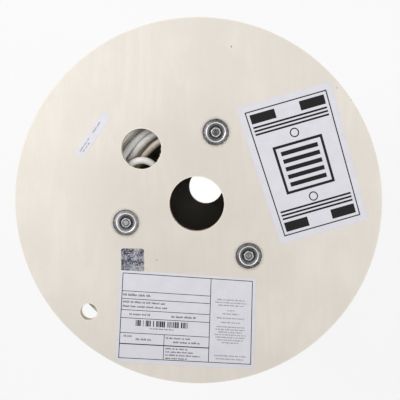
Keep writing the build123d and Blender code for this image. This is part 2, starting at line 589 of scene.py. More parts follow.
@dataclass(frozen=True)
class ZincRod(Finish):
    """Rolled threaded rod with electroplated zinc, sheared off rough and dark at its ends."""

    metallic: float = 0.8
    end_dull: str = "#2C2C2E"
    end_bright: str = "#67676A"

    def draw(self, sheet: NodeSheet) -> None:
        """Threads as 1 mm bands on the side, lighter crests and darker roots painted as light and shade,
        shear marks on the ends.
        """
        up = sheet.add("ShaderNodeSeparateXYZ", [sheet.place]).outputs["Z"]
        turns = sheet.add("ShaderNodeMath", [up, 2 * math.pi * 1000.0], operation="MULTIPLY")
        thread = sheet.add("ShaderNodeMath", [turns], operation="SINE")
        # Painted light on the thread's crests and painted shade in its roots
        thread_light_and_shade = sheet.add("ShaderNodeMapRange", [thread, -1.0, 1.0])
        side = sheet.layered("#7A7A7D", (thread_light_and_shade, "#BDBDC0"))
        marks = sheet.patches((2.4, 0.5, 2.0), 4.0, (0.35, 0.65))
        end = sheet.layered(self.end_dull, (marks, self.end_bright))
        sheet.paint(side, (sheet.level_face(0.6, 0.9), end))
        sheet.add("ShaderNodeBump", {"Height": thread, "Strength": 0.6, "Distance": 0.0003}, "Normal")


@dataclass(frozen=True)
class CableJacket(Finish):
    """Extruded halogen-free cable jacket: even light grey, matt, with fine drag lines and scuffs.

    Where it lies more than shaded_below millimetres under the front flange, painted shade darkens and
    browns it, in spots like dust.
    """

    ior: float | None = 1.48
    second: str = "#E1E0DE"
    scuffed: str = "#CFCECB"
    shaded_below: float = 0.0

    def draw(self, sheet: NodeSheet) -> None:
        """Slow tone changes over 60 mm, scuffs over 5 mm and a skin grain of 0.4 mm."""
        tone = sheet.patches((60.0, 60.0, 25.0), 2.0, (0.35, 0.65))
        scuff = sheet.grain((5.0, 5.0, 2.0), 4.0)
        rubbed = sheet.add("ShaderNodeMapRange", [scuff, 0.55, 0.75, 0.0, 0.35])
        depth_shade = self.depth_shade(sheet) if self.shaded_below else []
        sheet.paint(self.colour, (tone, self.second), (rubbed, self.scuffed), *depth_shade)
        sheet.add("ShaderNodeMapRange", [scuff, 0.3, 0.7, 0.42, 0.6], "Roughness")
        skin = sheet.grain((0.4, 0.4, 0.4), 1.0)
        sheet.add("ShaderNodeBump", {"Height": skin, "Strength": 0.15, "Distance": 0.0001}, "Normal")

    def depth_shade(self, sheet: NodeSheet) -> list[tuple[Node, str]]:
        """Painted shade on what lies deep under the front flange, in spots like dust, and a browner painted
        shade further down.

        Args:
            sheet: The material's nodes.

        Returns:
            Share and colour of both.
        """
        up = sheet.add("ShaderNodeSeparateXYZ", [sheet.place]).outputs["Z"]
        top = REEL.front_inner - self.shaded_below
        deep = sheet.add("ShaderNodeMapRange", [up, mm(top), mm(top - 2.5)])
        # Spots of the painted shade, about 3 mm across
        spots = sheet.patches((3.0, 3.0, 3.0), 4.0, (0.3, 0.7), (0.7, 1.0))
        deep_shade_spots = sheet.add("ShaderNodeMath", [deep, spots], operation="MULTIPLY")
        deeper_shade = sheet.add("ShaderNodeMapRange", [up, mm(top - 5.5), mm(top - 8.0), 0.0, 0.8])
        return [(deep_shade_spots, "#B5A798"), (deeper_shade, "#A58B70")]


@dataclass(frozen=True)
class LabelPaper(Finish):
    """Coated label paper rolled on by hand: cool white, half matt, with a few flat bubbles."""

    ior: float | None = 1.5

    def draw(self, sheet: NodeSheet) -> None:
        """Cloudy paper tone over 9 mm and bubbles over 22 mm."""
        clouds = sheet.patches((9.0, 9.0, 9.0), 4.0, (0.3, 0.7))
        sheet.paint(self.colour, (clouds, "#D8D7DE"))
        bubble = sheet.grain((22.0, 22.0, 22.0), 2.0)
        sheet.add("ShaderNodeBump", {"Height": bubble, "Strength": 0.2, "Distance": 0.0006}, "Normal")


@dataclass(frozen=True)
class ThermalInk(Finish):
    """Thermal transfer print: near black and matt, with pinholes where the ribbon skipped."""

    ior: float | None = 1.36

    def draw(self, sheet: NodeSheet) -> None:
        """Pinholes about 0.3 mm across."""
        pinholes = sheet.patches((0.3, 0.3, 0.3), 1.0, (0.66, 0.78), (0.0, 0.4))
        sheet.paint(self.colour, (pinholes, "#8A8A90"))


@dataclass(frozen=True)
class DiffractionFoil(Finish):
    """Embossed aluminium foil: dark silver squares that split the light into faint colours."""

    metallic: float = 0.85

    def draw(self, sheet: NodeSheet) -> None:
        """Embossed squares of 1.4 mm, each with its own faint hue, and bright flecks of 1 mm."""
        place = sheet.add("ShaderNodeMapping", {"Vector": sheet.place, "Scale": per_mm((1.4, 1.4, 50.0))})
        cells = sheet.add("ShaderNodeTexVoronoi", {"Vector": place, "Scale": 1.0, "Randomness": 0.5},
                          distance="CHEBYCHEV").outputs
        tint = sheet.add("ShaderNodeHueSaturation", {"Color": cells["Color"], "Value": 0.6,
                                                      "Saturation": 0.45})
        glow = sheet.patches((9.0, 9.0, 50.0), 1.0, (0.42, 0.58), (0.04, 0.7))
        flecks = sheet.patches((1.0, 1.0, 50.0), 2.0, (0.54, 0.62), (0.0, 0.85))
        sheet.paint(self.colour, (glow, tint), (flecks, "#C2C1D6"))
        sheet.add("ShaderNodeBump", {"Height": cells["Distance"], "Strength": 0.4, "Distance": 0.0001},
                  "Normal")


@dataclass(frozen=True)
class ShieldFoil(Finish):
    """Crinkled aluminium foil round a wire pair, as bright as it is thin."""

    metallic: float = 1.0

    def draw(self, sheet: NodeSheet) -> None:
        """Crinkles about 0.6 mm across."""
        folds = sheet.grain((0.6, 0.6, 0.6), 3.0)
        sheet.add("ShaderNodeBump", {"Height": folds, "Strength": 0.8, "Distance": 0.0002}, "Normal")


@dataclass
class Studio:
    """Camera at the photograph's place, soft light from the upper left and a pale floor."""

    focal_px: float = 589.41
    image_px: float = 400.0
    camera_place: Triple = (0.02593, 0.04886, 1.05758)
    tilt: Triple = (0.0693696, -0.0346849, 0.0018996)
    # Place, watts and side of each lamp: the main one at the upper left, a weaker one at the right
    # and a faint one near the camera, which reaches into the holes
    lamps: tuple[tuple[Triple, float, float], ...] = (
        ((-0.70, 0.40, 1.02), 7.15, 0.5),
        ((0.80, 0.05, 0.97), 3.55, 0.5),
        ((0.034, 0.064, 1.25), 0.3, 0.15),
    )
    ambient: float = 0.35
    # Half the floor's side and how far it lies below the reel, in metres
    floor_reach: float = 12.0
    floor_drop: float = 0.0003
    # How white the floor is to the camera near the reel, where the shadow has to show
    floor_white: float = 0.84

    def camera(self) -> None:
        """Add the camera, fitted to the flange's outline and holes in the photograph."""
        data = bpy.data.cameras.new("camera")
        data.sensor_width = 36.0
        data.lens = 36.0 * self.focal_px / self.image_px
        data.clip_start = 0.02
        camera = new_object("camera", data)
        turn = (Matrix.Rotation(self.tilt[0], 3, "X") @ Matrix.Rotation(self.tilt[1], 3, "Y")
                @ Matrix.Rotation(self.tilt[2], 3, "Z"))
        camera.matrix_world = Matrix.Translation(self.camera_place) @ turn.transposed().to_4x4()
        bpy.context.scene.camera = camera

    def light(self) -> None:
        """Add the soft lamps and the even light of the room."""
        for number, (spot, watts, size) in enumerate(self.lamps, start=1):
            data = bpy.data.lights.new(f"softbox_{number}", "AREA")
            data.shape = "SQUARE"
            data.size = size
            data.energy = watts
            lamp = new_object(f"softbox_{number}", data)
            lamp.visible_camera = False
            place = Vector(spot)
            aim = (Vector((0.0, 0.0, REEL.width / 1000.0)) - place).to_track_quat("-Z", "Y")
            lamp.matrix_world = Matrix.Translation(place) @ aim.to_matrix().to_4x4()

        world = bpy.data.worlds.new("room")
        bpy.context.scene.world = world
        world.use_nodes = True
        sheet = NodeSheet(world.node_tree)
        even = sheet.add("ShaderNodeBackground", ["#FFFFFF", self.ambient])
        white = sheet.add("ShaderNodeBackground", ["#FFFFFF", 1.0])
        mix = sheet.add("ShaderNodeMixShader", [self.seen_rays(sheet), even, white])
        sheet.add("ShaderNodeOutputWorld", {"Surface": mix})

    def seen_rays(self, sheet: NodeSheet) -> Node:
        """1 for a ray that shows the background: from the camera, a shiny surface or through glass.

        Args:
            sheet: The nodes of the room or the floor.

        Returns:
            The node that gives it.
        """
        path = sheet.add("ShaderNodeLightPath").outputs
        direct = sheet.add("ShaderNodeMath", [path["Is Camera Ray"], path["Is Glossy Ray"]],
                           operation="ADD")
        return sheet.add("ShaderNodeMath", [direct, path["Is Transmission Ray"]], operation="ADD",
                         use_clamp=True)

    def floor(self) -> None:
        """Add the pale floor, which keeps the shadow and is near white to the camera."""
        corners = [(x * self.floor_reach, y * self.floor_reach, -self.floor_drop)
                   for x, y in ((-1, -1), (1, -1), (1, 1), (-1, 1))]
        mesh = bpy.data.meshes.new("floor")
        mesh.from_pydata(corners, [], [(0, 1, 2, 3)])
        floor = new_object("floor", mesh)
        material, sheet = new_material("pale_floor")
        mesh.materials.append(material)
        paper = sheet.add("ShaderNodeBsdfDiffuse", {"Color": "#EDEDED"})
        white = sheet.add("ShaderNodeEmission", ["#FFFFFF", 1.0])
        # Plain white under the bore and far off, with the shadow showing round the reel
        place = sheet.add("ShaderNodeTexCoord").outputs["Object"]
        reach = sheet.add("ShaderNodeVectorMath", [place], operation="LENGTH")
        near = sheet.add("ShaderNodeMapRange", [reach, 0.06, 0.3, 1.0, self.floor_white])
        far = sheet.add("ShaderNodeMapRange", [reach, 0.7, 2.2, self.floor_white, 1.0])
        share = sheet.add("ShaderNodeMath", [near, far], operation="MAXIMUM")
        seen = sheet.add("ShaderNodeMath", [self.seen_rays(sheet), share], operation="MULTIPLY")
        mix = sheet.add("ShaderNodeMixShader", [seen, paper, white])
        sheet.add("ShaderNodeOutputMaterial", {"Surface": mix})

    def build(self) -> None:
        """Camera, light and floor."""
        bpy.context.scene.view_settings.view_transform = "Standard"
        self.camera()
        self.light()
        self.floor()


@dataclass
class InnerEnd:
    """The cable's inner end, which leaves the first layer and lies round the barrel's hollow."""

    jacket: Material
    foil: Material
    copper: Material
    ink: Material
    length: float = 524.1
    # Degrees from the top of the jacket to its row of print, outwards, at the tip and how far it twists
    print_at: float = 30.0
    print_twist: float = 180.0
    # Place across and depth below the front flange's inner face
    route: tuple[Triple, ...] = (
        (-89.6, -5.9, 4.4),
        (-84.9, 18.2, 4.4),
        (-76.4, 44.6, 4.4),
        (-55.1, 49.2, 4.4),
        (-40.3, 34.4, 9.0),
        (-43.8, 4.6, 18.0),
        (-42.4, -38.1, 30.0),
        (-9.2, -65.4, 40.0),
        (32.4, -60.9, 43.0),
        (62.9, -30.7, 41.0),
        (69.3, 9.7, 36.0),
        (52.0, 47.5, 27.0),
        (19.5, 69.0, 18.5),
        (-9.7, 78.6, 12.5),
        (-31.6, 74.5, 8.6),
        (-48.6, 64.6, 8.5),
        (-62.4, 50.6, 12.8),
        (-73.3, 31.1, 14.5),
    )
    # From the cable's middle: the wire pairs, and each wire from the middle of its pair
    pair_r: float = 1.75
    wire_r: float = 0.55

    def build(self) -> None:
        """The cord itself, with its cut end as a piece on it."""
        points = [Vector((mm(x), mm(y), mm(REEL.front_inner - depth))) for x, y, depth in self.route]
        curve = bpy.data.curves.new("inner_end", "CURVE")
        curve.dimensions = "3D"
        spline = curve.splines.new("NURBS")
        spline.points.add(len(points) - 1)
        for control, point in zip(spline.points, points):
            control.co = (*point, 1.0)
        spline.order_u = 3
        spline.use_endpoint_u = True
        spline.resolution_u = 10
        curve.bevel_depth = mm(REEL.cable_d / 2)
        curve.bevel_resolution = 5
        curve.use_fill_caps = True
        curve.materials.append(self.jacket)
        cord = new_object("inner_end", curve)
        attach(cord, "root")
        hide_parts("cable_tail")
        cores = self.cut_end(points[-1], (points[-1] - points[-2]).normalized())
        cores.append(self.jacket_print(curve))

    def jacket_print(self, curve: bpy.types.Curve) -> Piece:
        """Row of fine dashes along the jacket, as metre marks are, which say nothing.

        Args:
            curve: The cord, whose line the dashes follow.

        Returns:
            The dashes as one piece.
        """
        thin = curve.copy()
        thin.bevel_depth = 0.0
        holder = bpy.data.objects.new("thin_line", thin)
        line = bpy.data.meshes.new_from_object(holder)
        path = [vert.co.copy() for vert in line.vertices]
        bpy.data.objects.remove(holder)
        bpy.data.meshes.remove(line)
        bpy.data.curves.remove(thin)
        shaper = random.Random("metre marks")
        # Just above the jacket
        radius = mm(REEL.cable_d / 2 + 0.03)
        dashes = []
        for step, (first, second) in enumerate(zip(path, path[1:])):
            along = (second - first).normalized()
            lean = self.print_at + self.print_twist * (1.0 - step / len(path))
            outward = Vector((first.x, first.y, 0.0)).normalized()
            side = (outward - along * outward.dot(along)).normalized()
            over = side.cross(along)
            over = over if over.z > 0 else -over
            gap = shaper.uniform(0.15, 0.3)
            verts = []
            for point in (first.lerp(second, gap / 2), first.lerp(second, 1.0 - gap / 2)):
                for degrees in (lean - 4.0, lean + 4.0):
                    angle = math.radians(degrees)
                    verts.append(point + radius * (math.sin(angle) * side + math.cos(angle) * over))
            dashes.append((verts, [(0, 1, 3, 2)]))
        return add_piece("inner_end_print", joined(dashes), self.ink, smooth=False)

    def cut_end(self, tip: Vector, along: Vector) -> list[Piece]:
        """Four foil-wrapped pairs and their copper, just proud of the cut jacket.

        Args:
            tip: Middle of the cut.
            along: Direction that the cable ends in.

        Returns:
            The pieces.
        """
        side = along.orthogonal().normalized()
        over = along.cross(side)
        wraps = []
        wires = []
        for pair in range(4):
            angle = math.radians(45 + 90 * pair)
            middle = tip + mm(self.pair_r) * (math.cos(angle) * side + math.sin(angle) * over)
            wraps.append(swept([middle - along * mm(2.0), middle + along * mm(0.7)], mm(1.35), 12))
            lean = angle + math.radians(70)
            for sign in (-1, 1):
                wire = middle + sign * mm(self.wire_r) * (math.cos(lean) * side + math.sin(lean) * over)
                wires.append(swept([wire, wire + along * mm(1.5)], mm(0.3), 8))
        pairs = add_piece("inner_end_pairs", joined(wraps), self.foil)
        strands = add_piece("inner_end_copper", joined(wires), self.copper)
        return [pairs, strands]


@dataclass
class WoundCable:
    """The winding: eleven layers of turns, laid from the front flange to the back one and back again."""

    jacket: Material
    turns: int = 49
    layers: int = 11
    first_r: float = 90.0
    outer_r: float = 162.0
    # Where the last layer begins at the front flange, in degrees, and how far and for how much of a
    # turn it rides up there
    outer_start: float = 150.0
    ride_up: float = 2.7
    ride_turns: float = 0.5
    # How much of a turn of it lies in the layer below, before it comes up
    lead_in: float = 0.3
    climb_turns: float = 0.1
    end_gap: float = 4.2
    steps_per_turn: int = 84
    sides: int = 10
    # Each layer that arrives at a flange, and the angle at which the cable climbs to the next one
    front_climbs: tuple[tuple[int, float], ...] = ((2, 186.0), (4, 205.0), (6, 18.0), (8, 262.0))
    back_climbs: tuple[tuple[int, float], ...] = (
        (1, 75.0),
        (3, 130.0),
        (5, 310.0),
        (7, 210.0),
        (9, 340.0),
    )
    end_steps_per_turn: int = 56
    # Turns that show on either side of a climb, and how much of a turn the climb itself takes
    end_reach: float = 1.9
    end_climb_turns: float = 0.07
    # How far the front end of this layer sinks in before its climb
    sunk_layer: int = 4
    sunk: float = 3.4
    # Depth of the grooves between the layers at the ends of the core
    groove: float = 1.5

    @property
    def layer_pitch(self) -> float:
        """Distance from one layer to the next."""
        return (self.outer_r - self.first_r) / (self.layers - 1)

    @property
    def turn_pitch(self) -> float:
        """Distance from one turn to the next along the axis."""
        return (REEL.front_inner - REEL.flange_t - 2 * self.end_gap) / (self.turns - 1)

    def advance(self, turn: float) -> float:
        """How many pitches the cable has moved on after so many turns.

        Each turn lies square to the axis for most of its way and steps over to the next
        groove in a short arc, which wanders slowly round the reel.
        """
        lead = 0.08 * math.sin(turn / 7.0)
        return turn - 0.85 / (2 * math.pi) * math.sin(2 * math.pi * (turn - lead))

    def outer_layer(self) -> Part:
        """Last layer, wound from the front flange to the back, with its cut end at the back."""
        path = []
        # From under the layer to three quarters of a turn past the last pitch
        first = -int(self.lead_in * self.steps_per_turn)
        last = (self.turns - 1) * self.steps_per_turn + self.steps_per_turn * 3 // 4
        for step in range(first, last + 1):
            turn = step / self.steps_per_turn
            moved = min(max(self.advance(turn), 0.0), self.turns - 1)
            z = REEL.front_inner - self.end_gap - self.turn_pitch * moved
            sway = noise.noise(Vector((turn * 1.3, 4.0, 0.0)))
            settle = noise.noise(Vector((turn * 0.21, 9.0, 2.0)))
            riding = 0.0 < turn < self.ride_turns
            proud = self.ride_up * math.sin(math.pi * turn / self.ride_turns) ** 2 if riding else 0.0
            below = self.layer_pitch * (1.0 - eased(turn / self.climb_turns + 1.0))
            radius = self.outer_r - 0.25 + 0.2 * sway + proud - below
            path.append(polar(mm(radius), self.outer_start + 360.0 * turn, mm(z + 0.12 * settle)))
        return swept(path, mm(REEL.cable_d / 2 - 0.02), self.sides)

    def end_turns(self, layer: int, climb: float, front: bool) -> Part:
        """Turns next to a flange where one layer ends and the next begins.

        Args:
            layer: Layer that arrives at the flange, counted from 1.
            climb: Angle at which the cable climbs to the next layer, in degrees.
            front: Whether it is the front flange.

        Returns:
            Points and faces of one length of cable through both layers.
        """
        path = []
        steps = self.end_steps_per_turn
        for step in range(int(-self.end_reach * steps), int(self.end_reach * steps) + 1):
            turn = step / steps
            low = self.first_r + self.layer_pitch * (layer - 1)
            high = low + self.layer_pitch
            if layer == self.sunk_layer and front and -0.45 < turn < 0.0:
                # Over the place where the layer below has already moved on, this turn sinks in
                low -= self.sunk * math.sin(math.pi * min(1.0, -turn * 2.2)) ** 2
            away = max(abs(turn) - 0.55, 0.0) * self.turn_pitch
            depth = self.end_gap + 0.2 + min(away * 2.2, self.turn_pitch * 1.45)
            z = REEL.front_inner - depth if front else REEL.flange_t + depth
            radius = low + (high - low) * eased(turn / self.end_climb_turns + 0.5)
            path.append(polar(mm(radius), climb + 360.0 * turn, mm(z)))
        return swept(path, mm(REEL.cable_d / 2 - 0.05), 8)

    def first_turn(self) -> Part:
        """Start of the first layer, which the inner end runs into, and where it steps past that end."""
        path = []
        x, y, first_depth = InnerEnd.route[0]
        start = math.degrees(math.atan2(y, x)) % 360.0
        steps = 80
        for step in range(2 * steps):
            turn = step / steps
            # It steps past the inner end just short of a full turn, and on to the next groove later
            over = eased((turn - 0.86) / 0.055)
            later = min(max((turn - 1.6) / 0.3, 0.0), 1.0)
            sunk = 1.2 * min(turn * 2, 1.0)
            depth = first_depth + sunk + self.turn_pitch * (over + later)
            radius = 89.8 + 0.2 * min(turn * 4, 1.0)
            path.append(polar(mm(radius), start + 360.0 * turn, mm(REEL.front_inner - depth)))
        return swept(path, mm(REEL.cable_d / 2 - 0.05), 12)

    def core(self) -> Part:
        """Body of the winding behind the turns that show, ridged at both ends."""
        # Behind the two turns at each flange
        depth = self.end_gap + self.turn_pitch * 2.3
        inner = REEL.barrel_r + 0.3
        outer = self.outer_r - REEL.cable_d / 2 + 0.2
        ends = []
        for crest_z, groove in ((REEL.flange_t + depth, self.groove),
                                (REEL.front_inner - depth, -self.groove)):
            end = [(mm(inner), mm(crest_z + groove))]
            for layer in range(self.layers - 1):
                crest = self.first_r + self.layer_pitch * layer
                valley = min(crest + self.layer_pitch / 2, outer)
                end += [(mm(crest), mm(crest_z)), (mm(valley), mm(crest_z + groove))]
            ends.append(end)
        profile = ends[0] + list(reversed(ends[1]))
        steps = 96
        verts = []
        for step in range(steps):
            angle = 2 * math.pi * step / steps
            for radius, z in profile:
                verts.append(Vector((radius * math.cos(angle), radius * math.sin(angle), z)))
        return verts, band_faces(steps, len(profile))

    def build(self) -> None:
        """All of the winding, in place of its CAD solid."""
        ends = [self.end_turns(layer, climb, True) for layer, climb in self.front_climbs]
        ends += [self.end_turns(layer, climb, False) for layer, climb in self.back_climbs]
        ends.append(self.first_turn())
        for name, part in (("wound_outer_layer", self.outer_layer()), ("wound_layer_ends", joined(ends)),
                           ("wound_core", self.core())):
            piece = add_piece(name, part, self.jacket)
            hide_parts("cable_winding")


@dataclass
class RodEnds:
    """Dished washers, nuts and tie rods at both flanges."""

    zinc: Material
    rod_finishes: tuple[Material, ...]
    sides: int = 64
    # Radius, height and how bright the zinc is, going round the washer's section; the bright crest is a
    # painted highlight of the rolled edge, and the dark dish is painted shade
    washer: tuple[Triple, ...] = (
        (14.5, -3.0, 0.1),
        (14.58, -2.4, 0.1),
        (14.5, -1.95, 0.1),
        (14.2, -1.78, 0.15),
        (13.3, -1.46, 0.12),
        (12.2, -0.98, 0.1),
        (11.5, -0.66, 0.1),
        (11.1, -0.47, 0.12),
        (10.8, -0.36, 0.3),
        (10.5, -0.3, 0.8),
        (10.2, -0.34, 0.95),
        (9.9, -0.5, 0.75),
        (9.55, -0.85, 0.24),
        (8.2, -2.1, 0.26),
        (7.3, -3.1, 0.24),
        (6.8, -3.75, 0.14),
        (6.3, -4.1, 0.05),
        (5.7, -4.2, 0.0),
        (3.3, -4.2, 0.0),
        (3.3, -5.4, 0.0),
        (6.5, -5.4, 0.0),
        (10.3, -1.6, 0.0),
    )
    nut_flats: float = 10.0
    nut_foot: float = -4.2
    nut_face: float = -1.0
    nut_cone_r: float = 4.75
    nut_sides: int = 72
    bore_r: float = 3.05
    # How much brighter each rod's washers are than the rest
    shine: tuple[float, ...] = (0.0, 0.1, -0.03)

    def add_with_wear_and_sheen(self, solid: str, shape: str, spot: FaceSpot, points: list[tuple], rows: int,
                 inside_out: bool = False) -> Piece:
        """Add a piece in place of its CAD solid, with how worn it is and its painted light at each point.

        Args:
            solid: Name of the CAD solid.
            shape: What the piece's name adds to that.
            spot: Middle of the rod on the flange's face.
            points: Radius, angle, height and brightness of each point, section by section.
            rows: Number of points of a section.
            inside_out: Whether a section's points go round the other way.

        Returns:
            The piece.
        """
        verts = [spot.at(*point[:3]) for point in points]
        faces = band_faces(len(points) // rows, rows, inside_out, not spot.front)
        piece = add_piece(f"{solid}_{shape}", (verts, faces), self.zinc)
        # Brightness of each point: worn polish, with painted highlight and painted shade
        wear_and_sheen = piece.data.attributes.new("wear_and_sheen", "FLOAT", "POINT")
        wear_and_sheen.data.foreach_set("value", [point[3] for point in points])
        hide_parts(solid)
        return piece

    def add_washer(self, name: str, spot: FaceSpot, shine: float) -> None:
        """Dished washer, pressed in a little unevenly.

        Args:
            name: Name of its CAD solid.
            spot: Middle of the rod on the flange's face.
            shine: How much brighter it is than its table says.
        """
        # Only the slope outside this radius is dented and nicked
        slope_r = 11.0
        phase = random.Random(name).uniform(0, 2 * math.pi)
        points = []
        for step in range(self.sides):
            spin = 2 * math.pi * step / self.sides
            for radius, height, bright in self.washer:
                edge = max(radius - slope_r, 0.0) / (self.washer[0][0] - slope_r)
                dent = 0.05 * edge * math.sin(3 * spin + phase)
                nick = 0.12 * edge * noise.noise(Vector((math.cos(spin) * 4, math.sin(spin) * 4, phase)))
                around = Vector((2 * math.cos(spin), 2 * math.sin(spin), phase + radius / 3))
                # The middle of the dish, under the nut, keeps its dull bloom and painted shade
                extra = shine + 0.12 * noise.noise(around) if radius > 7.0 else 0.0
                points.append((radius + nick, spin, height + dent, bright + extra))
        self.add_with_wear_and_sheen(name, "pressed", spot, points, len(self.washer), inside_out=True)

    def add_nut(self, name: str, spot: FaceSpot, lie: float) -> None:
        """Hexagon nut with turned corners and a countersunk thread.

        Args:
            name: Name of its CAD solid.
            spot: Middle of the rod on the flange's face.
            lie: Direction of one of its flats, in degrees.
        """
        points = []
        for step in range(self.nut_sides):
            spin = 2 * math.pi * step / self.nut_sides
            lean = math.radians((math.degrees(spin) + 30.0) % 60.0 - 30.0)
            hexagon = self.nut_flats / 2 / math.cos(lean)
            drop = (hexagon - self.nut_cone_r) * math.tan(math.radians(30.0))
            # Radius, height and brightness, up the flats, over the cone and down the thread; the bright
            # ring at the cone's edge is a painted highlight of the chamfer
            rings = (
                (hexagon, self.nut_foot, 0.05),
                (hexagon, self.nut_face - drop - 0.12, 0.1),
                (hexagon - 0.1, self.nut_face - drop, 0.15),
                (self.nut_cone_r + 0.45 * (hexagon - self.nut_cone_r), self.nut_face - 0.45 * drop, 0.2),
                (self.nut_cone_r, self.nut_face, 0.72),
                (self.nut_cone_r - 0.4, self.nut_face, 0.62),
                (self.nut_cone_r - 0.7, self.nut_face, 0.1),
                (self.bore_r + 0.45, self.nut_face, 0.1),
                (self.bore_r, self.nut_face - 0.35, 0.0),
                (self.bore_r, self.nut_foot, 0.0),
            )
            turn = spin + math.radians(lie)
            points += [(radius, turn, height, bright) for radius, height, bright in rings]
        nut = self.add_with_wear_and_sheen(name, "hexagon", spot, points, len(rings))
        nut.data.set_sharp_from_angle(angle=math.radians(22))

    def build(self) -> None:
        """Washers and nuts at both ends, and the rods' own finish."""
        for index, (angle, shine) in enumerate(zip(REEL.rod_angles, self.shine), start=1):
            for side in ("front", "back"):
                spot = rod_spot(angle, side == "front")
                self.add_washer(f"{side}_washer_{index}", spot, shine)
                self.add_nut(f"{side}_nut_{index}", spot, angle)
            dress(f"tie_rod_{index}", self.rod_finishes[index - 1])


@dataclass
class Flanges:
    """Both flanges keep their CAD shape, with the sharp saw edge broken."""

    front_finish: Material
    back_finish: Material
    fibre: Material
    edge_break: float = 0.5
    # The start hole is torn most in the last degrees of the round, by splinters up to so many millimetres
    ragged_from: float = 296.0
    ragged_reach: float = 1.7
    # How far into the wood a hole's splinters stand
    root: float = 0.4
    washer_fibres: int = 96

    def build(self) -> None:
        """Dress and soften both flanges, and add the torn fibres round each washer and hole."""
        for node, material in (("front_flange", self.front_finish), ("back_flange", self.back_finish)):
            solid = dress(node, material)
            bevel = solid.modifiers.new("edge_break", "BEVEL")
            bevel.width = mm(self.edge_break)
            bevel.segments = 2
            bevel.limit_method = "ANGLE"
            bevel.angle_limit = math.radians(50)
            bevel.use_clamp_overlap = True
        for front in (True, False):
            torn = []
            for angle in REEL.rod_angles:
                torn += self.washer_splinters(angle, front)
            for hole in REEL.holes if front else REEL.holes[:1]:
                torn += self.hole_splinters(hole, front)
            add_piece("torn_fibres_front" if front else "torn_fibres_back", joined(torn), self.fibre,
                      smooth=False)

    def splinter(self, spot: FaceSpot, corners: tuple[Triple, ...]) -> Part:
        """One splinter from both corners of its foot, its tip and its ridge, as FaceSpot.at takes them."""
        return [spot.at(*corner) for corner in corners], [(0, 1, 2), (0, 2, 3), (1, 3, 2), (0, 3, 1)]

    def hole_splinters(self, hole: Triple, front: bool) -> list[Part]:
        """Splinters that the hole saw left standing into a hole.

        Args:
            hole: Middle and radius of the hole, in millimetres.
            front: Whether it is in the front flange.

        Returns:
            The splinters.
        """
        x, y, radius = hole
        shaper = random.Random(f"splinters {x:.1f} {y:.1f} {front}")
        spot = FaceSpot(mm(x), mm(y), front)
        foot = radius + self.root
        splinters = []
        spin = 0.0
        while spin < 360.0:
            ragged = radius == REEL.start_hole_d / 2 and spin > self.ragged_from
            spin += shaper.uniform(2.0, 5.0 if ragged else 22.0)
            wide = math.degrees(shaper.uniform(0.4, 1.5) / radius)
            reach = shaper.uniform(0.15, self.ragged_reach if ragged else 0.7) * min(1.0, radius / 20.0)
            sink = shaper.uniform(0.3, 1.2)
            tip = math.radians(spin + wide * shaper.uniform(-0.8, 0.8))
            splinters.append(self.splinter(spot, (
                (foot, math.radians(spin - wide), -0.35),
                (foot, math.radians(spin + wide), -0.35),
                (radius - reach, tip, -0.4),
                (foot, math.radians(spin), -0.4 - sink),
            )))
        return splinters

    def washer_splinters(self, angle: float, front: bool) -> list[Part]:
        """Splinters that a washer's edge pushed up out of the face.

        Args:
            angle: Where its rod stands, in degrees.
            front: Whether it is on the front flange.

        Returns:
            The splinters.
        """
        shaper = random.Random(f"fibres {angle} {front}")
        spot = rod_spot(angle, front)
        splinters = []
        for index in range(self.washer_fibres):
            spin = math.radians(index * 360.0 / self.washer_fibres + shaper.uniform(-2.0, 2.0))
            wide = math.radians(shaper.uniform(1.6, 3.4))
            reach = shaper.uniform(14.9, 15.8)
            lift = shaper.uniform(-0.1, 0.06) if front else shaper.uniform(-0.2, -0.02)
            foot = shaper.uniform(13.9, 14.5)
            foot_rise = -1.15 - 0.3 * (14.5 - foot)
            splinters.append(self.splinter(spot, (
                (foot, spin - wide, foot_rise),
                (foot, spin + wide, foot_rise),
                (reach, spin + wide * 0.3, -0.02),
                (14.7, spin, lift),
            )))
        return splinters


@dataclass
class Flaws:
    """Small dents and pin holes that show on the front face, as dark spots of painted shade."""

    shade: Material
    # Middle and radius of each, in millimetres
    spots: tuple[Triple, ...] = (
        (37.5, 168.4, 1.0),
        (150.0, 124.2, 0.7),
        (165.0, 111.5, 0.6),
        (-43.8, -61.7, 0.8),
        (-46.5, -55.4, 0.4),
        (-54.6, -71.8, 0.6),
        (-98.0, 68.7, 0.35),
        (112.0, -95.4, 0.4),
    )
    corners: int = 11

    def build(self) -> None:
        """Each flaw as a ragged shallow spot of dark torn fibre and the painted shade of its dent."""
        parts = []
        for x, y, radius in self.spots:
            shaper = random.Random(f"flaw {x}")
            verts = [Vector((mm(x), mm(y), mm(REEL.width - 0.02)))]
            for step in range(self.corners):
                angle = 2 * math.pi * step / self.corners
                reach = radius * shaper.uniform(0.6, 1.25)
                verts.append(Vector((mm(x + 0.7 * reach * math.cos(angle)), mm(y + reach * math.sin(angle)),
                                     mm(REEL.width + 0.03))))
            parts.append((verts, [(0, 1 + step, 1 + (step + 1) % self.corners)
                                  for step in range(self.corners)]))
        add_piece("face_flaws", joined(parts), self.shade, smooth=False)


class LabelKind(Enum):
    """The printed things on the front flange."""

    DETAILS = "details_label"
    CARD = "plain_card"
    STRIP = "small_strip"


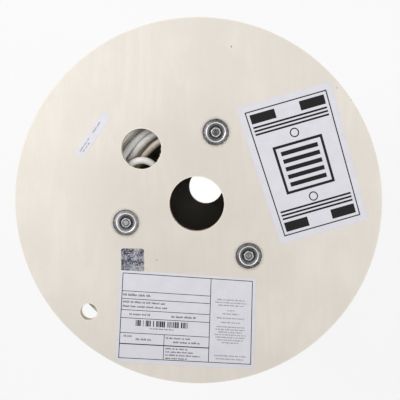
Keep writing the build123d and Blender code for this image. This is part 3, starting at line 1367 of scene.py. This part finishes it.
@dataclass
class PaperLabel:
    """A paper label stuck to the front flange, with print on it that says nothing.

    Its corners are on the flange, from the upper left one clockwise. Places on it are in
    millimetres from its left and top edges.
    """

    kind: LabelKind
    corners: tuple[tuple[float, float], ...]
    paper: Material
    ink: Material
    size: tuple[float, float]
    thickness: float = 0.12
    # How far the print stands off the flat paper, which clears its bubbles
    print_lift: float = 0.07
    marks: list[Part] = field(default_factory=list)

    def at(self, x: float, y: float, lift: float) -> Vector:
        """Point of the label.

        Args:
            x: Millimetres from its left edge.
            y: Millimetres from its top edge.
            lift: Millimetres above the flange.

        Returns:
            The point in the frame of the reel.
        """
        across = x / self.size[0]
        left_top, right_top, right_low, left_low = (Vector(corner) for corner in self.corners)
        point = left_top.lerp(right_top, across).lerp(left_low.lerp(right_low, across), y / self.size[1])
        return Vector((mm(point.x), mm(point.y), mm(REEL.width + lift)))

    def add_mark(self, places: list[tuple[float, float]], faces: list) -> None:
        """Print faces between places on the paper."""
        self.marks.append(([self.at(x, y, self.thickness + self.print_lift) for x, y in places], faces))

    def bubble(self, x: float, y: float) -> float:
        """Millimetres that the paper stands off the wood at a place."""
        return 0.05 * max(0.0, noise.noise(Vector((x / 17.0, y / 17.0, 3.0 + self.size[0]))))

    def add_paper(self) -> None:
        """The sheet, as a closed thin body with its bubbles."""
        columns = max(4, int(self.size[0] / 5))
        rows = max(4, int(self.size[1] / 5))
        verts = []
        for row in range(rows + 1):
            for column in range(columns + 1):
                x = self.size[0] * column / columns
                y = self.size[1] * row / rows
                verts.append(self.at(x, y, self.thickness + self.bubble(x, y)))
        faces = []
        for row in range(rows):
            for column in range(columns):
                here = row * (columns + 1) + column
                faces.append((here, here + columns + 1, here + columns + 2, here + 1))
        rim = list(range(columns + 1))
        rim += [row * (columns + 1) + columns for row in range(1, rows + 1)]
        rim += [rows * (columns + 1) + column for column in range(columns - 1, -1, -1)]
        rim += [row * (columns + 1) for row in range(rows - 1, 0, -1)]
        base = len(verts)
        verts += [Vector((verts[index].x, verts[index].y, mm(REEL.width))) for index in rim]
        for step in range(len(rim)):
            after = (step + 1) % len(rim)
            faces.append((rim[step], rim[after], base + after, base + step))
        faces.append(tuple(range(base + len(rim) - 1, base - 1, -1)))
        add_piece(self.kind.value, (verts, faces), self.paper, smooth=False)

    def bar(self, x0: float, y0: float, x1: float, y1: float) -> None:
        """Print a straight block between two corners."""
        self.add_mark([(x0, y0), (x0, y1), (x1, y1), (x1, y0)], [(0, 1, 2, 3)])

    def ring(self, x: float, y: float, outer: float, inner: float, steps: int = 36) -> None:
        """Print a round line.

        Args:
            x: Its middle across.
            y: Its middle down.
            outer: Outer radius.
            inner: Inner radius.
            steps: Number of corners.
        """
        places = []
        for step in range(steps):
            angle = 2 * math.pi * step / steps
            for radius in (outer, inner):
                places.append((x + radius * math.cos(angle), y + radius * math.sin(angle)))
        faces = []
        for step in range(steps):
            after = (step + 1) % steps
            faces.append((2 * step, 2 * step + 1, 2 * after + 1, 2 * after))
        self.add_mark(places, faces)

    def ticks(self, x0: float, x1: float, y: float, tall: float, seed: str) -> None:
        """Print a row of short upright ticks in groups, which stands for a line of print.

        Args:
            x0: Where the row starts.
            x1: Where it ends.
            y: Its middle.
            tall: Height of the tallest tick.
            seed: Name of the row, which settles its groups.
        """
        shaper = random.Random(f"{seed} {x0} {y}")
        pitch = 0.42 * tall
        foot = y + tall / 2
        x = x0
        while x < x1:
            for _ in range(shaper.randint(3, 9)):
                if x > x1 - pitch / 2:
                    break
                height = tall * shaper.choice((0.7, 0.7, 1.0))
                self.bar(x, foot - height, x + pitch * 0.5, foot)
                if shaper.random() < 0.5:
                    level = foot - height * shaper.choice((0.15, 0.5, 0.95))
                    self.bar(x + pitch * 0.5, level, x + pitch, level + tall * 0.14)
                x += pitch
            x += pitch * 1.2

    def frame_lines(self, x0: float, y0: float, x1: float, y1: float, wide: float) -> None:
        """Print a rectangle of lines between two corners."""
        self.bar(x0, y0, x1, y0 + wide)
        self.bar(x0, y1 - wide, x1, y1)
        self.bar(x0, y0 + wide, x0 + wide, y1 - wide)
        self.bar(x1 - wide, y0 + wide, x1, y1 - wide)

    def add_print(self, name: str = "print") -> None:
        """The print, as one thin piece on the paper."""
        add_piece(f"{self.kind.value}_{name}", joined(self.marks), self.ink, smooth=False)


@dataclass
class Labels:
    """Everything stuck to the front flange."""

    paper: Material
    ink: Material
    grey_ink: Material
    foil: Material

    def details(self) -> None:
        """Large label with ruled boxes, rows of ticks for its print and a row of plain bars."""
        corners = ((-84.8, -73.0), (64.8, -82.3), (63.1, -183.1), (-91.5, -176.8))
        size = (150.0, 102.5)
        label = PaperLabel(LabelKind.DETAILS, corners, self.paper, self.ink, size)
        label.add_paper()
        left, right, top, foot, divider = 3.3, 146.6, 2.5, 97.6, 100.5
        label.frame_lines(left, top, right, foot, 0.75)
        label.bar(divider, top, divider + 0.7, foot)
        for y, wide in ((22.1, 0.65), (30.6, 0.65), (43.0, 0.65), (51.9, 0.65), (68.5, 0.65), (80.6, 1.1)):
            label.bar(left, y, divider, y + wide)
        label.bar(51.7, 68.5, 52.3, foot)
        rows = [(5.0, 35.0, 26.3, 2.6), (5.0, 52.0, 34.2, 2.3), (5.0, 54.0, 39.0, 2.3),
                (13.0, 36.0, 47.6, 2.3), (59.0, 86.0, 48.0, 2.3), (36.0, 62.0, 62.8, 1.4),
                (8.0, 18.0, 72.2, 2.1), (21.0, 38.0, 75.4, 2.1), (54.0, 80.0, 72.2, 2.1),
                (62.0, 92.0, 76.6, 2.1)]
        for row, seed in zip(rows, "abcdefghij"):
            label.ticks(*row, seed)
        for row in range(4):
            label.ticks(54.0, 78.0 + 7 * (row % 3), 84.2 + 3.6 * row, 1.8, f"k{row}")
        shaper = random.Random("bars")
        x = 20.3
        while x < 78.0:
            wide = shaper.choice((0.5, 0.5, 1.0, 1.5))
            label.bar(x, 54.0, x + wide, 60.6)
            x += wide + shaper.choice((0.5, 0.5, 1.0, 2.5))
        label.add_print()
        fine = PaperLabel(LabelKind.DETAILS, corners, self.paper, self.grey_ink, size)
        middle = (divider + right) / 2
        for y, half in ((26.5, 15), (29.6, 17), (32.7, 14), (38.4, 4), (42.3, 9), (47.2, 15), (52.0, 10),
                        (57.0, 15), (60.0, 16), (63.0, 13), (66.0, 17), (69.0, 16), (72.0, 14), (75.0, 9),
                        (90.0, 17), (93.6, 15)):
            fine.ticks(middle - half, middle + half, y - 1.0, 1.5, f"fine{y}")
        fine.add_print("fine_print")

    def card(self) -> None:
        """White card with a plain figure of blocks, rings and bars, in place of a notice."""
        corners = ((42.5, 103.1), (143.4, 131.4), (185.3, -16.5), (91.4, -44.0))
        label = PaperLabel(LabelKind.CARD, corners, self.paper, self.ink, (103.0, 151.0))
        label.add_paper()
        label.frame_lines(7.0, 7.0, 96.0, 144.0, 1.2)
        for y in (11.0, 130.0):
            for x in (11.0, 65.0):
                label.bar(x, y, x + 27.0, y + 10.0)
        for row in range(3):
            for top in (24.0, 117.4):
                label.bar(11.0, top + 3.8 * row, 92.0, top + 2.0 + 3.8 * row)
        label.frame_lines(24.0, 50.0, 79.0, 102.0, 2.8)
        for row in range(5):
            label.bar(31.0, 57.0 + 8.4 * row, 72.0, 61.6 + 8.4 * row)
        for y in (41.0, 111.0):
            label.ring(51.5, y, 5.0, 3.8)
        label.add_print()

    def strip(self) -> None:
        """Narrow strip with faint rows of ticks."""
        corners = ((-133.3, 54.6), (-101.4, 101.5), (-93.4, 93.1), (-124.0, 50.2))
        label = PaperLabel(LabelKind.STRIP, corners, self.paper, self.grey_ink, (53.0, 12.0))
        label.add_paper()
        for row, seed in zip(((5.0, 22.0, 4.2), (29.0, 44.0, 4.4), (6.0, 19.0, 7.6)), "mno"):
            label.ticks(*row, 1.8, seed)
        label.add_print()

    def foil_patch(self) -> None:
        """Square of embossed foil with round corners."""
        left, top, right, low, corner = -83.4, -49.0, -58.0, -75.0, 2.4
        outline = []
        for x, y, start in ((right - corner, top - corner, 0), (left + corner, top - corner, 90),
                            (left + corner, low + corner, 180), (right - corner, low + corner, 270)):
            for step in range(7):
                angle = math.radians(start + 15 * step)
                outline.append((x + corner * math.cos(angle), y + corner * math.sin(angle)))
        count = len(outline)
        verts = [Vector((mm(x), mm(y), mm(REEL.width + lift))) for lift in (0.09, 0.0) for x, y in outline]
        faces = [tuple(range(count)), tuple(reversed(range(count, 2 * count)))]
        for step in range(count):
            after = (step + 1) % count
            faces.append((step, count + step, count + after, after))
        add_piece("foil_patch", (verts, faces), self.foil, smooth=False)

    def build(self) -> None:
        """All four."""
        self.details()
        self.card()
        self.strip()
        self.foil_patch()


def main() -> None:
    """Build the studio and every sub-assembly of the reel."""
    logging.basicConfig(level=logging.INFO, format="%(name)s: %(message)s")
    Studio().build()
    log.info("studio ready")
    # The inner end's jacket carries painted shade where it lies more than 3 mm under the front flange
    jacket = CableJacket("halogen_free_jacket", "#E6E5E3", 0.5, shaded_below=3.0).build()
    foil = ShieldFoil("aluminium_foil", "#C9CACC", 0.3).build()
    copper = Finish("bare_copper", "#B8714A", 0.3, metallic=1.0).build()
    jacket_ink = Finish("faded_jacket_ink", "#6E6A66", 0.5).build()
    InnerEnd(jacket, foil, copper, jacket_ink).build()
    log.info("inner end ready")
    # Darker copy of the same jacket for the winding, as painted shade on the wound turns
    shaded_wound_jacket = CableJacket("wound_jacket_painted_shade", "#D6D5D3", 0.5, second="#CFCECC",
                               scuffed="#BFBEBB").build()
    WoundCable(shaded_wound_jacket).build()
    log.info("winding ready")
    dress("barrel", Fibreboard("pressed_fibreboard", "#745636", 0.85).build())
    zinc = ZincPlatedSteel("zinc_plated_steel", "#9A9A9D", 0.45).build()
    rods = (
        ZincRod("zinc_rod_dark_end", "#8E8E91", 0.5).build(),
        ZincRod("zinc_rod_bright_end", "#8E8E91", 0.5, end_dull="#6E7071", end_bright="#AFB1B1").build(),
        ZincRod("zinc_rod_grey_end", "#8E8E91", 0.5, end_dull="#56585A", end_bright="#929496").build(),
    )
    RodEnds(zinc, rods).build()
    log.info("rod ends ready")
    front_ply = BirchPlywood("birch_plywood_front", "#DDD5CB", 0.6, floor_z=REEL.front_inner,
                             holes=REEL.holes, shift=2.0).build()
    back_ply = BirchPlywood("birch_plywood_back", "#DDD5CB", 0.6, holes=REEL.holes[:1], shift=7.0).build()
    fibre = Finish("torn_birch_fibre", "#CFC8BE", 0.8).build()
    Flanges(front_ply, back_ply, fibre).build()
    # Dark flaw spots: torn fibre, with painted shade of the dents and pin holes
    Flaws(Finish("flaw_fibre_and_painted_shade", "#6A5A48", 0.9).build()).build()
    log.info("flanges ready")
    paper = LabelPaper("coated_label_paper", "#DEDDE4", 0.45).build()
    ink = ThermalInk("thermal_transfer_ink", "#08080A", 0.8).build()
    grey_ink = ThermalInk("thin_thermal_ink", "#7C7C84", 0.8).build()
    hologram = DiffractionFoil("embossed_foil", "#2C2A36", 0.38).build()
    Labels(paper, ink, grey_ink, hologram).build()
    log.info("labels ready")


if __name__ == "__main__":
    main()
